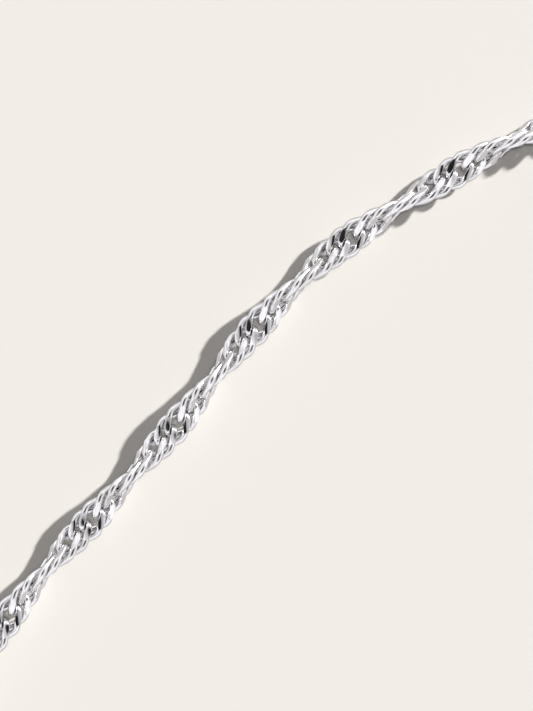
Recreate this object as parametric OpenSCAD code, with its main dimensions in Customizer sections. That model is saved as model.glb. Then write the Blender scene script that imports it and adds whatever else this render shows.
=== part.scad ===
// A silver chain necklace that lies closed on a surface, in millimetres.
// The chain is a twisted double curb. It is drawn here as the plain cord that its twist fills,
// and it runs round a loop from the jump ring to the catch ring.
// +Z is up, the surface is z = 0, and the origin is the middle of the loop on that surface.

/* [Chain] */
// Width across the twisted chain
chain_w = 2; // [1.6:0.1:2.4]

/* [Rings] */
// Wire of the jump ring and the catch ring
ring_wire = 0.5; // [0.4:0.05:0.6]
// Outer diameter of the jump ring, between the clasp's eye and the chain
jump_d = 2.9; // [2.5:0.1:3.6]
// Outer diameter of the catch ring, between the clasp's ring and the chain
catch_d = 3.5; // [3.3:0.1:4.2]
// Lean of the catch ring up from the surface
catch_lean = 42; // [40:1:55]

/* [Clasp] */
// Outer diameter of the clasp's ring
clasp_d = 5.5; // [5:0.1:7]
// Thickness of the clasp's ring
clasp_wire = 1; // [0.8:0.05:1.2]
// Outer diameter of the eye on the clasp
eye_d = 1.9; // [1.8:0.1:2.2]
// Wire of the eye
eye_wire = 0.4; // [0.3:0.05:0.45]
// Diameter of the thumb knob
knob_d = 0.6; // [0.4:0.1:0.8]
// How far the thumb knob stands out of the ring
knob_out = 0.7; // [0.4:0.1:1]

/* [Fit] */
// Gap between pieces that hang in each other
clearance = 0.15; // [0.1:0.01:0.2]
// Gap between the chain's end and the ring that it hangs on
end_gap = 0.1; // [0.1:0.05:0.3]

/* [Hidden] */
silver = [0.86, 0.86, 0.88];

// The clasp's middle on the surface, and the turn of its line from +X
clasp_at = [55, -48.5];
clasp_turn = 45;

// Places along the clasp's own line, measured from its middle towards the catch ring
clasp_r = (clasp_d - clasp_wire) / 2;
clasp_z = clasp_wire / 2 + ring_wire + clearance;
eye_r = (eye_d - eye_wire) / 2;
eye_sink = eye_wire * 0.4;
eye_x = -(clasp_d / 2 + eye_d / 2 - eye_sink);
jump_r = (jump_d - ring_wire) / 2;
jump_x = eye_x - eye_r + (eye_wire + ring_wire) / 2 + clearance - jump_r;
catch_r = (catch_d - ring_wire) / 2;
catch_x = clasp_r - ring_wire / 2;
catch_z = catch_r * sin(catch_lean) + ring_wire / 2;
knob_turn = 115;

// The chain hangs on the far side of each ring, and its ends line up with the clasp
clasp_line = [cos(clasp_turn), sin(clasp_turn)];
chain_start = clasp_at + (jump_x - jump_d / 2 - end_gap) * clasp_line;
chain_end = clasp_at + (catch_x + catch_d / 2 + end_gap) * clasp_line;

// Points that the chain's middle line passes through, from the jump ring round to the catch ring.
// The middle eight are the stretch that curves one way and then the other. The rest is a plain loop.
route = [
    [37.5, -63], [21.5, -70], [3.5, -72], [-15.5, -69], [-33.5, -61.5], [-50, -49],
    [-62.5, -33], [-70, -14], [-72, 3.5], [-70, 18],
    [-64.5, 30.2], [-60.5, 36.2], [-56, 41.2], [-51.6, 46.2],
    [-47.3, 51.5], [-42.5, 56.2], [-36.8, 60], [-30.7, 63.3],
    [-21.5, 66.5], [-11.5, 70], [3.5, 72], [20.5, 70], [37, 62.5], [51.5, 50],
    [63, 34], [70, 15.5], [72, -4], [69, -23]
];

// The cord is an octagon that measures chain_w across its flats, with one flat on the surface
cord_sides = 8;
cord_r = chain_w / 2 / cos(180 / cord_sides);
cord_z = chain_w / 2;
cord_step = 2.8 * chain_w;

// One point of the smooth curve through p1 and p2, at share t of the way
function curve_point(p0, p1, p2, p3, t) =
    (2 * p1 + (p2 - p0) * t + (2 * p0 - 5 * p1 + 4 * p2 - p3) * t * t
        + (3 * p1 - p0 - 3 * p2 + p3) * t * t * t) / 2;

// The points of the smooth curve through a list of points, about step apart
function curve(p, step) =
    let (last = len(p) - 1, q = concat([2 * p[0] - p[1]], p, [2 * p[last] - p[last - 1]]))
    concat(
        [for (i = [0:last - 1])
            let (n = max(1, round(norm(p[i + 1] - p[i]) / step)))
            for (k = [0:n - 1]) curve_point(q[i], q[i + 1], q[i + 2], q[i + 3], k / n)],
        [p[last]]
    );

// The direction of a line of points at point i
function heading(line, i) =
    let (d = line[min(i + 1, len(line) - 1)] - line[max(i - 1, 0)]) d / norm(d);

// One corner of the cord's octagon, at point i of its middle line
function cord_corner(line, i, side) =
    let (h = heading(line, i), turn = (side + 0.5) * 360 / cord_sides)
    [
        line[i][0] - h[1] * cord_r * cos(turn),
        line[i][1] + h[0] * cord_r * cos(turn),
        cord_z + cord_r * sin(turn)
    ];

// A cord along a line of points, closed by a flat face at each end
module cord(line) {
    n = cord_sides;
    last = len(line) - 1;
    corners = [for (i = [0:last]) for (s = [0:n - 1]) cord_corner(line, i, s)];
    walls = [
        for (i = [0:last - 1]) for (s = [0:n - 1])
            let (a = i * n + s, b = i * n + (s + 1) % n)
            each [[a, a + n, b + n], [a, b + n, b]]
    ];
    start = [for (s = [0:n - 1]) s];
    end = [for (s = [n - 1:-1:0]) last * n + s];
    polyhedron(points = corners, faces = concat([start, end], walls));
}

// A round wire bent into a flat ring of middle radius r
module wire_ring(r, wire) {
    rotate_extrude($fn = 96) translate([r, 0]) circle(d = wire, $fn = 32);
}

// Puts a piece of the clasp's line where it lies on the surface
module on_clasp_line(x, z) {
    translate([clasp_at[0], clasp_at[1], 0]) rotate([0, 0, clasp_turn]) translate([x, 0, z])
        children();
}

// The twisted chain, as the cord that it fills
module chain() {
    color(silver) cord(curve(concat([chain_start], route, [chain_end]), cord_step));
}

// The ring that joins the clasp's eye to the start of the chain
module jump_ring() {
    color(silver) on_clasp_line(jump_x, clasp_z) wire_ring(jump_r, ring_wire);
}

// The spring ring clasp: a round ring with its thumb knob and the eye soldered to it
module clasp() {
    color(silver) {
        on_clasp_line(0, clasp_z) {
            wire_ring(clasp_r, clasp_wire);
            rotate([0, 0, knob_turn]) translate([clasp_r, 0, 0]) rotate([0, 90, 0])
                cylinder(h = clasp_wire / 2 + knob_out, d = knob_d, $fn = 32);
        }
        on_clasp_line(eye_x, clasp_z) rotate([90, 0, 0]) wire_ring(eye_r, eye_wire);
    }
}

// The ring at the end of the chain that the clasp closes on
module catch_ring() {
    color(silver) on_clasp_line(catch_x, catch_z) rotate([catch_lean, 0, 0])
        wire_ring(catch_r, ring_wire);
}

chain();
jump_ring();
clasp();
catch_ring();
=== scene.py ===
"""A silver singapore chain that lies closed on a pale surface.

Lengths are in millimetres until they reach Blender, and z = 0 is the surface.
"""

import math

import bpy
import numpy as np
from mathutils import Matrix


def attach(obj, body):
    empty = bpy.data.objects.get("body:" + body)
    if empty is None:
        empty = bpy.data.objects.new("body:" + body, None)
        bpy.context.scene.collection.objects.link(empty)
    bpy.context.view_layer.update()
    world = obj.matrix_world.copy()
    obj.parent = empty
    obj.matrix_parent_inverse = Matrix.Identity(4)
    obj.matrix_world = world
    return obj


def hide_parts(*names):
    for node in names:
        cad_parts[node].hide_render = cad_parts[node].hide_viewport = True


MM = 0.001

# The route of the chain, the same points as in the part's source
CHAIN_START = (50.446, -53.054)
CHAIN_END = (57.722, -45.778)
ROUTE = [
    (37.5, -63), (21.5, -70), (3.5, -72), (-15.5, -69), (-33.5, -61.5), (-50, -49),
    (-62.5, -33), (-70, -14), (-72, 3.5), (-70, 18),
    (-64.5, 30.2), (-60.5, 36.2), (-56, 41.2), (-51.6, 46.2),
    (-47.3, 51.5), (-42.5, 56.2), (-36.8, 60), (-30.7, 63.3),
    (-21.5, 66.5), (-11.5, 70), (3.5, 72), (20.5, 70), (37, 62.5), (51.5, 50),
    (63, 34), (70, 15.5), (72, -4), (69, -23),
]
ROUTE_STEPS = 120
MID_Z = 1.0

# The line runs on straight past both ends, and the chain rises there to the rings it hangs on
RUN_ON = 3
START_RISE = 0.12
END_RISE = 0.18
RISE_LENGTH = 4

# The twist turns the ribbon half round every HALF_TURN. Turns are in degrees, where 0 lies flat and
# 90 stands on edge. The rate is exact over EVEN_TWIST, measured from FLAT_AT along the chain, and
# from there to the ends it is the nearest one that gives the end turns.
HALF_TURN = 7.657
FLAT_AT = 233.373
EVEN_TWIST = (-35, 20)
START_TURN = 68
END_TURN = 82
TURN_REACH = 0.35

# One link: its wire, and its middle line as waves round the link, x along the chain, y across the
# ribbon and z through it
WIRE = 0.4
X_WAVES = (1.0633, 0.1015)
Y_WAVES = (0.7319, -0.0597)
Z_WAVES = (-0.286, -0.0328)

# The bright cut takes off the wire above CUT_Z on both faces of the ribbon, and leaves its faces
# crowned. LEAST_CUT is half the angle of the smallest cut on the wire.
CUT_Z = 0.375
CROWN = 0.3
LEAST_CUT = math.radians(9)

# Links lie PAIR apart in a pair, and pairs lie PITCH apart. One pair lies at LINK_AT, and the pitch
# is exact over EVEN_PAIRS, counted from it. The end links' middles lie END_INSET from the ends.
PAIR = 0.836
PITCH = 1.9104
LINK_AT = 233.313
EVEN_PAIRS = (-17, 8)
END_INSET = 0.262

# The stretch in the photo, measured from FLAT_AT, and the corners round a link and round its wire
IN_VIEW = (-34, 15.5)
FINE = (96, 16)
PLAIN = (56, 12)

# The silver's tones and their patches, and its roughness where it is drawn and where it is cut
BRIGHT = (0.93, 0.92, 0.935)
DULL = (0.78, 0.77, 0.76)
DULL_SCALE = 900
DRAWN_ROUGHNESS = (0.14, 0.28)
CUT_ROUGHNESS = (0.05, 0.10)
CUT_SCALE = 3000

# The scratches, and how far a link's drawn lines move on for each millimetre along the chain
SCRATCH_SCALE = 12000
SCRATCH_DEPTH = 0.0006
SCRATCH_PATCHES = 1500
LINES_MOVE_ON = 10

# How near other metal must be for the painted shade in the crevices, the range of openness that is
# painted darker, and the painted shade's colour
CREVICE = 0.15
CREVICE_RANGE = (0.15, 0.6)
PAINTED_CREVICE_SHADE = (0.20, 0.19, 0.185)

# The surface, the darker colour that only glossy rays see on it, which paints a darker reflection of it
# into the metal, and its grain
SURFACE_SIZE = 6
SURFACE_COLOUR = (0.807, 0.780, 0.750, 1)
PAINTED_REFLECTION_COLOUR = (0.560, 0.550, 0.550, 1)
GRAIN_SCALE = 2500
GRAIN_DEPTH = 0.02
GRAIN_STRENGTH = 0.15

# The room's grey by the height that a ray points at, from level to overhead, and how uneven it is
ROOM_LEVEL = (0.60, 0.60, 0.62, 1)
ROOM = ((0.15, 0.80), (0.55, 0.92), (0.72, 0.92), (0.80, 0.70), (0.90, 0.45), (0.93, 0.02))
ROOM_OVERHEAD = (0.010, 0.010, 0.012, 1)
ROOM_TINT = 0.98
ROOM_PATCHES = 2.2
PATCH_RANGE = (0.38, 0.56)
PATCH_LIGHT = (0.75, 1.25)

# The even light on the surface, the room as the camera sees it, and the colour of the suns
EVEN_LIGHT = (0.06, 0.06, 0.06, 1)
BACKDROP = (0.87, 0.84, 0.80, 1)
SUN_COLOUR = (1.0, 0.985, 0.96)

# The camera's lens and sensor, the middle of its view, and the height that the picture covers
LENS = 150
SENSOR = 36
VIEW_X = -46.5
VIEW_Y = 50.0
VIEW_HEIGHT = 42.448


def smooth_route():
    """The smooth curve through the route's points, and the distance along it."""
    p = np.array([CHAIN_START, *ROUTE, CHAIN_END], float)
    p = np.vstack([2 * p[0] - p[1], p, 2 * p[-1] - p[-2]])
    t = np.linspace(0, 1, ROUTE_STEPS, endpoint=False)[:, None]
    parts = []
    for p0, p1, p2, p3 in zip(p, p[1:], p[2:], p[3:]):
        slope = (p2 - p0) * t
        bend = (2 * p0 - 5 * p1 + 4 * p2 - p3) * t ** 2
        twist = (3 * p1 - p0 - 3 * p2 + p3) * t ** 3
        parts.append((2 * p1 + slope + bend + twist) / 2)
    line = np.vstack(parts + [p[-2:-1]])
    back = line[0] - line[1]
    ahead = line[-1] - line[-2]
    line = np.vstack([line[0] + back * RUN_ON / np.hypot(*back), line,
                      line[-1] + ahead * RUN_ON / np.hypot(*ahead)])
    steps = np.hypot(*np.diff(line, axis=0).T)
    along = np.concatenate([[0], np.cumsum(steps)]) - RUN_ON
    return line, along


LINE, ALONG = smooth_route()
LENGTH = ALONG[-1] - RUN_ON
HEADINGS = np.unwrap(np.arctan2(*np.diff(LINE, axis=0).T[::-1]))
HEADING_AT = (ALONG[1:] + ALONG[:-1]) / 2


def nearest_turn(turn, wanted):
    """The turn nearest to wanted that looks the same as turn, as half turns do."""
    return turn + 180 * round((wanted - turn) / 180)


def twist_table():
    """Places along the chain and the twist there, in degrees."""
    rate = 180 / HALF_TURN
    first = nearest_turn(START_TURN, (0 - FLAT_AT) * rate)
    last = nearest_turn(END_TURN, (LENGTH - FLAT_AT) * rate)
    near = [FLAT_AT + x for x in EVEN_TWIST]
    places = [-TURN_REACH, *near, LENGTH + TURN_REACH]
    return places, [first, *((x - FLAT_AT) * rate for x in near), last]


TWIST_PLACES, TWISTS = twist_table()


def on_chain(s):
    """Middle point, left direction and twist at distance s along the chain."""
    x = np.interp(s, ALONG, LINE[:, 0])
    y = np.interp(s, ALONG, LINE[:, 1])
    heading = np.interp(s, HEADING_AT, HEADINGS)
    start_rise = START_RISE * np.clip(1 - s / RISE_LENGTH, 0, 1)
    end_rise = END_RISE * np.clip(1 - (LENGTH - s) / RISE_LENGTH, 0, 1)
    z = MID_Z + start_rise + end_rise
    left = np.stack([-np.sin(heading), np.cos(heading), np.zeros_like(heading)], -1)
    return np.stack([x, y, z], -1), left, np.radians(np.interp(s, TWIST_PLACES, TWISTS))


def link_places():
    """Where each link's middle lies along the chain. Links follow each other in pairs."""
    first, last = END_INSET - PAIR, LENGTH - END_INSET
    pairs = round((last - first) / PITCH)
    known = round((LINK_AT - first) / PITCH)
    numbers = [0, *(known + n for n in EVEN_PAIRS), pairs]
    places = [first, *(LINK_AT + n * PITCH for n in EVEN_PAIRS), last]
    ahead = np.interp(np.arange(1, pairs + 1), numbers, places)
    behind = np.interp(np.arange(0, pairs), numbers, places) + PAIR
    return np.sort(np.concatenate([ahead, behind]))


def link_wires(places, t, z):
    """The middle line of each link's wire, and the directions to the wire's top and side.

    The point at angle t round the link lies z from the ribbon's middle.
    """
    x = X_WAVES[0] * np.cos(t) + X_WAVES[1] * np.cos(3 * t)
    y = Y_WAVES[0] * np.sin(t) + Y_WAVES[1] * np.sin(3 * t)
    middle, left, turn = on_chain(places[:, None] + x)
    up = np.array([0.0, 0.0, 1.0])
    c, s = np.cos(turn)[..., None], np.sin(turn)[..., None]
    across = c * left + s * up
    through = c * up - s * left
    line = middle + across * y[:, None] + through * z[:, None]
    run = np.roll(line, -1, 1) - np.roll(line, 1, 1)
    run /= np.linalg.norm(run, axis=-1, keepdims=True)
    top = through - (through * run).sum(-1, keepdims=True) * run
    top /= np.linalg.norm(top, axis=-1, keepdims=True)
    return line, top, np.cross(run, top)


def wire_outlines(z, sides):
    """The wire's outline at each height z, from its top round, as parts of the wire's radius.

    The results are each corner's share towards the top and the side, which corners edge a cut
    face, and which lie on one.
    """
    r = WIRE / 2
    cut_top = np.arccos(np.clip((CUT_Z - z) / r, -1, 1))
    cut_low = np.arccos(np.clip((CUT_Z + z) / r, -1, 1))
    half = sides // 2
    first, last = np.maximum(cut_top, LEAST_CUT), np.pi - np.maximum(cut_low, LEAST_CUT)
    angles = np.zeros((len(z), sides))
    angles[:, 1:half] = first[:, None] + (last - first)[:, None] * np.linspace(0, 1, half - 1)
    angles[:, half] = np.pi
    angles[:, half + 1:] = 2 * np.pi - angles[:, half - 1:0:-1]
    radius = np.ones((len(z), sides))
    radius[:, 0] = CROWN + (1 - CROWN) * np.cos(cut_top)
    radius[:, half] = CROWN + (1 - CROWN) * np.cos(cut_low)
    edges = np.zeros((len(z), sides), bool)
    edges[:, [1, -1]] = (cut_top > LEAST_CUT)[:, None]
    edges[:, [half - 1, half + 1]] = (cut_low > LEAST_CUT)[:, None]
    flat = edges.copy()
    flat[:, 0] = cut_top > LEAST_CUT
    flat[:, half] = cut_low > LEAST_CUT
    return radius * np.cos(angles), radius * np.sin(angles), edges, flat


def link_vertices(places, around, sides):
    """The corners of the links at these places, which of them edge a cut face, and which lie on one.

    The last result is each corner's place on its wire, round the wire and then along it, for texture.
    """
    t = np.linspace(0, 2 * np.pi, around, endpoint=False)
    z = Z_WAVES[0] * np.sin(2 * t) + Z_WAVES[1] * np.sin(4 * t)
    line, top, side = link_wires(places, t, z)
    to_top, to_side, edges, flat = wire_outlines(z, sides)
    out = to_top[..., None] * top[:, :, None] + to_side[..., None] * side[:, :, None]
    corners = line[:, :, None] + WIRE / 2 * out
    count = len(places)
    on_wire = np.empty((count, around, sides, 4))
    on_wire[..., 0] = to_top
    on_wire[..., 1] = to_side
    on_wire[..., 2] = np.cos(t)[:, None]
    on_wire[..., 3] = np.sin(t)[:, None] + LINES_MOVE_ON * places[:, None, None]
    return (corners.reshape(-1, 3), np.tile(edges.reshape(-1), count),
            np.tile(flat.reshape(-1), count), on_wire.reshape(-1, 4))


def grid_faces(count, around, sides):
    """The faces of count closed tubes."""
    i = np.arange(around)[:, None]
    j = np.arange(sides)[None]
    next_i, next_j = (i + 1) % around, (j + 1) % sides
    quad = np.stack([i * sides + j, next_i * sides + j, next_i * sides + next_j,
                     i * sides + next_j], -1).reshape(-1, 4)
    first = np.arange(count)[:, None, None] * around * sides
    return (first + quad).reshape(-1, 4)


def make_links(name, places, around, sides, silver):
    """One mesh of many links that hang in each other."""
    corners, cut, flat, on_wire = link_vertices(places, around, sides)
    faces = grid_faces(len(places), around, sides)
    mesh = bpy.data.meshes.new(name)
    mesh.from_pydata((corners * MM).tolist(), [], faces.tolist())
    mesh.shade_smooth()
    ends = np.empty(len(mesh.edges) * 2, np.int32)
    mesh.edges.foreach_get("vertices", ends)
    sharp = cut[ends].reshape(-1, 2).all(1)
    mesh.attributes.new("sharp_edge", "BOOLEAN", "EDGE").data.foreach_set("value", sharp)
    polished = flat[faces].all(1).astype(np.float32)
    mesh.attributes.new("polished", "FLOAT", "FACE").data.foreach_set("value", polished)
    round_wire = mesh.attributes.new("round_wire", "FLOAT_VECTOR", "POINT")
    round_wire.data.foreach_set("vector", on_wire[:, :3].ravel())
    along_wire = mesh.attributes.new("along_wire", "FLOAT", "POINT")
    along_wire.data.foreach_set("value", on_wire[:, 3].copy())
    mesh.materials.append(silver)
    links = bpy.data.objects.new(name, mesh)
    bpy.context.scene.collection.objects.link(links)
    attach(links, "root")
    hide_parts("chain")


def new_material(name):
    """A material with its node tree and its shader."""
    material = bpy.data.materials.new(name)
    material.use_nodes = True
    return material, material.node_tree, material.node_tree.nodes["Principled BSDF"]


def silver_material(name, drawn_scale, drawn_depth, lengthwise):
    """Bright silver with drawn lines, brighter cut faces, fine scratches and painted shade in the
    crevices.

    On the links the drawn lines run along each wire. The lines of the other pieces are plain grain.
    """
    material, tree, shader = new_material(name)
    nodes, wire = tree.nodes, tree.links.new
    place = nodes.new("ShaderNodeTexCoord")

    def attribute(name):
        node = nodes.new("ShaderNodeAttribute")
        node.attribute_name = name
        return node

    def noise(scale, detail):
        node = nodes.new("ShaderNodeTexNoise")
        node.inputs["Scale"].default_value = scale
        node.inputs["Detail"].default_value = detail
        wire(place.outputs["Object"], node.inputs["Vector"])
        return node.outputs["Fac"]

    def drawn_lines():
        if not lengthwise:
            return noise(drawn_scale, 2)
        node = nodes.new("ShaderNodeTexNoise")
        node.noise_dimensions = "4D"
        node.inputs["Scale"].default_value = 1
        node.inputs["Detail"].default_value = 2
        stretch = nodes.new("ShaderNodeVectorMath")
        stretch.operation = "MULTIPLY"
        stretch.inputs[1].default_value = (drawn_scale, drawn_scale, 1)
        wire(attribute("round_wire").outputs["Vector"], stretch.inputs[0])
        wire(stretch.outputs["Vector"], node.inputs["Vector"])
        wire(attribute("along_wire").outputs["Fac"], node.inputs["W"])
        return node.outputs["Fac"]

    def spread(source, low, high, from_low=0.3, from_high=0.7):
        node = nodes.new("ShaderNodeMapRange")
        node.inputs["From Min"].default_value = from_low
        node.inputs["From Max"].default_value = from_high
        node.inputs["To Min"].default_value = low
        node.inputs["To Max"].default_value = high
        wire(source, node.inputs["Value"])
        return node.outputs["Result"]

    def bump(height, distance, strength, normal=None):
        node = nodes.new("ShaderNodeBump")
        node.inputs["Distance"].default_value = distance * MM
        wire(height, node.inputs["Height"])
        wire(strength, node.inputs["Strength"])
        if normal:
            wire(normal, node.inputs["Normal"])
        return node.outputs["Normal"]

    def mix(factor, a, b):
        node = nodes.new("ShaderNodeMix")
        node.data_type = "RGBA"
        wire(factor, node.inputs["Factor"])
        for socket, value in (("A", a), ("B", b)):
            if isinstance(value, tuple):
                node.inputs[socket].default_value = (*value, 1)
            else:
                wire(value, node.inputs[socket])
        return node.outputs["Result"]

    polished = attribute("polished").outputs["Fac"]
    bright = mix(spread(noise(DULL_SCALE, 4), 0, 1, 0.5, 0.75), BRIGHT, DULL)
    # Painted shade: the base colour turns dark grey where other metal is near, in the crevices between
    # the links
    crevice_shade = nodes.new("ShaderNodeAmbientOcclusion")
    crevice_shade.samples = 8
    crevice_shade.inputs["Distance"].default_value = CREVICE * MM
    unshaded = spread(crevice_shade.outputs["AO"], 0, 1, *CREVICE_RANGE)
    wire(mix(unshaded, PAINTED_CREVICE_SHADE, bright), shader.inputs["Base Color"])
    finish = nodes.new("ShaderNodeMix")
    wire(polished, finish.inputs["Factor"])
    wire(spread(drawn_lines(), *DRAWN_ROUGHNESS), finish.inputs["A"])
    wire(spread(noise(CUT_SCALE, 3), *CUT_ROUGHNESS), finish.inputs["B"])
    wire(finish.outputs["Result"], shader.inputs["Roughness"])
    drawn = bump(drawn_lines(), drawn_depth, spread(polished, 1, 0.25, 0, 1))
    patches = spread(noise(SCRATCH_PATCHES, 1), 0.3, 1)
    scratched = bump(noise(SCRATCH_SCALE, 1), SCRATCH_DEPTH, patches, drawn)
    wire(scratched, shader.inputs["Normal"])
    shader.inputs["Metallic"].default_value = 1
    return material


def make_floor():
    """A plain pale surface with a darker colour for glossy rays only, which paints darker reflections
    of it into the metal.
    """
    material, tree, pale = new_material("pale_surface")
    nodes, wire = tree.nodes, tree.links.new
    pale.inputs["Base Color"].default_value = SURFACE_COLOUR
    pale.inputs["Roughness"].default_value = 0.75
    pale.inputs["Specular IOR Level"].default_value = 0.2
    mirrored = nodes.new("ShaderNodeBsdfDiffuse")
    mirrored.inputs["Color"].default_value = PAINTED_REFLECTION_COLOUR
    place = nodes.new("ShaderNodeTexCoord")
    grain = nodes.new("ShaderNodeTexNoise")
    grain.inputs["Scale"].default_value = GRAIN_SCALE
    wire(place.outputs["Object"], grain.inputs["Vector"])
    bump = nodes.new("ShaderNodeBump")
    bump.inputs["Strength"].default_value = GRAIN_STRENGTH
    bump.inputs["Distance"].default_value = GRAIN_DEPTH * MM
    wire(grain.outputs["Fac"], bump.inputs["Height"])
    for shader in (pale, mirrored):
        wire(bump.outputs["Normal"], shader.inputs["Normal"])
    # Glossy rays see the darker diffuse: a painted darker reflection of the surface in the metal
    rays = nodes.new("ShaderNodeLightPath")
    both = nodes.new("ShaderNodeMixShader")
    wire(rays.outputs["Is Glossy Ray"], both.inputs["Fac"])
    wire(pale.outputs["BSDF"], both.inputs[1])
    wire(mirrored.outputs["BSDF"], both.inputs[2])
    wire(both.outputs["Shader"], nodes["Material Output"].inputs["Surface"])
    bpy.ops.mesh.primitive_plane_add(size=SURFACE_SIZE, location=(0, 0, 0))
    floor = bpy.context.object
    floor.name = "surface"
    floor.data.materials.append(material)


def make_world():
    """A bright room with a dark patch overhead, which the polished metal mirrors.

    The surface gets only a little even light from it, and past the surface's edge it looks pale.
    """
    world = bpy.data.worlds.new("room")
    bpy.context.scene.world = world
    world.use_nodes = True
    tree = world.node_tree
    nodes, wire = tree.nodes, tree.links.new
    place = nodes.new("ShaderNodeTexCoord")
    split = nodes.new("ShaderNodeSeparateXYZ")
    wire(place.outputs["Generated"], split.inputs["Vector"])
    ramp = nodes.new("ShaderNodeValToRGB")
    stops = ramp.color_ramp.elements
    stops[0].color = ROOM_LEVEL
    stops[1].color = ROOM_OVERHEAD
    for position, grey in ROOM:
        stop = stops.new(position)
        stop.color = (grey * ROOM_TINT, grey * ROOM_TINT, grey, 1)
    wire(split.outputs["Z"], ramp.inputs["Fac"])
    patches = nodes.new("ShaderNodeTexNoise")
    patches.inputs["Scale"].default_value = ROOM_PATCHES
    patches.inputs["Detail"].default_value = 1
    wire(place.outputs["Generated"], patches.inputs["Vector"])
    uneven = nodes.new("ShaderNodeMapRange")
    uneven.interpolation_type = "SMOOTHSTEP"
    uneven.inputs["From Min"].default_value = PATCH_RANGE[0]
    uneven.inputs["From Max"].default_value = PATCH_RANGE[1]
    uneven.inputs["To Min"].default_value = PATCH_LIGHT[0]
    uneven.inputs["To Max"].default_value = PATCH_LIGHT[1]
    wire(patches.outputs["Fac"], uneven.inputs["Value"])
    room = nodes["Background"]
    wire(ramp.outputs["Color"], room.inputs["Color"])
    wire(uneven.outputs["Result"], room.inputs["Strength"])

    rays = nodes.new("ShaderNodeLightPath")
    shader = room.outputs["Background"]
    for ray, colour in (("Diffuse Depth", EVEN_LIGHT), ("Is Camera Ray", BACKDROP)):
        plain = nodes.new("ShaderNodeBackground")
        plain.inputs["Color"].default_value = colour
        choice = nodes.new("ShaderNodeMixShader")
        wire(rays.outputs[ray], choice.inputs["Fac"])
        wire(shader, choice.inputs[1])
        wire(plain.outputs["Background"], choice.inputs[2])
        shader = choice.outputs["Shader"]
    wire(shader, nodes["World Output"].inputs["Surface"])


def make_sun(name, azimuth, elevation, strength, width, mirrored):
    """Sunlight that comes from azimuth, counterclockwise from +X, and that the metal mirrors or not."""
    data = bpy.data.lights.new(name, "SUN")
    data.energy = strength
    data.angle = math.radians(width)
    data.color = SUN_COLOUR
    sun = bpy.data.objects.new(name, data)
    sun.rotation_euler = (0, math.radians(90 - elevation), math.radians(azimuth))
    sun.visible_glossy = mirrored
    bpy.context.scene.collection.objects.link(sun)


def make_camera():
    """Straight above the stretch of chain in the photo."""
    data = bpy.data.cameras.new("camera")
    data.lens = LENS
    data.sensor_width = SENSOR
    data.clip_start = 0.005
    data.clip_end = 20
    camera = bpy.data.objects.new("camera", data)
    height = LENS * VIEW_HEIGHT / SENSOR + MID_Z
    camera.location = (VIEW_X * MM, VIEW_Y * MM, height * MM)
    bpy.context.scene.collection.objects.link(camera)
    bpy.context.scene.camera = camera


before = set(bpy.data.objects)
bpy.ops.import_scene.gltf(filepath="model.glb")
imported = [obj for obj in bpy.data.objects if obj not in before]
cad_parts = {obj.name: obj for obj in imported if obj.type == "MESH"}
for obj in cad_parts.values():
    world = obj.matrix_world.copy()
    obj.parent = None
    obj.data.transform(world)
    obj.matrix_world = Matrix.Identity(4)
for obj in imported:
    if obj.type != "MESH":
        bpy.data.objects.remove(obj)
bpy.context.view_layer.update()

link_silver = silver_material("chain_silver", drawn_scale=2.2, drawn_depth=0.008, lengthwise=True)
clasp_silver = silver_material("clasp_silver", drawn_scale=4000, drawn_depth=0.01, lengthwise=False)
for name in ("jump_ring", "clasp", "catch_ring"):
    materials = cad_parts[name].data.materials
    materials.clear()
    materials.append(clasp_silver)

# The links in the photo's stretch are one finer piece, and two pieces lie on either side of it
all_places = link_places()
seen = (all_places > FLAT_AT + IN_VIEW[0]) & (all_places < FLAT_AT + IN_VIEW[1])
before = np.array_split(all_places[: seen.argmax()], 2)
after = np.array_split(all_places[seen.argmax() + seen.sum():], 2)
for number, places in enumerate([*before, *after], 1):
    make_links(f"chain_links_{number}", places, *PLAIN, link_silver)
make_links("chain_links_5", all_places[seen], *FINE, link_silver)

make_floor()
make_world()
make_sun("key", azimuth=34, elevation=24, strength=6.12, width=3, mirrored=True)
make_sun("fill", azimuth=34, elevation=87, strength=0.67, width=12, mirrored=False)
make_camera()

bpy.context.scene.view_settings.view_transform = "Standard"
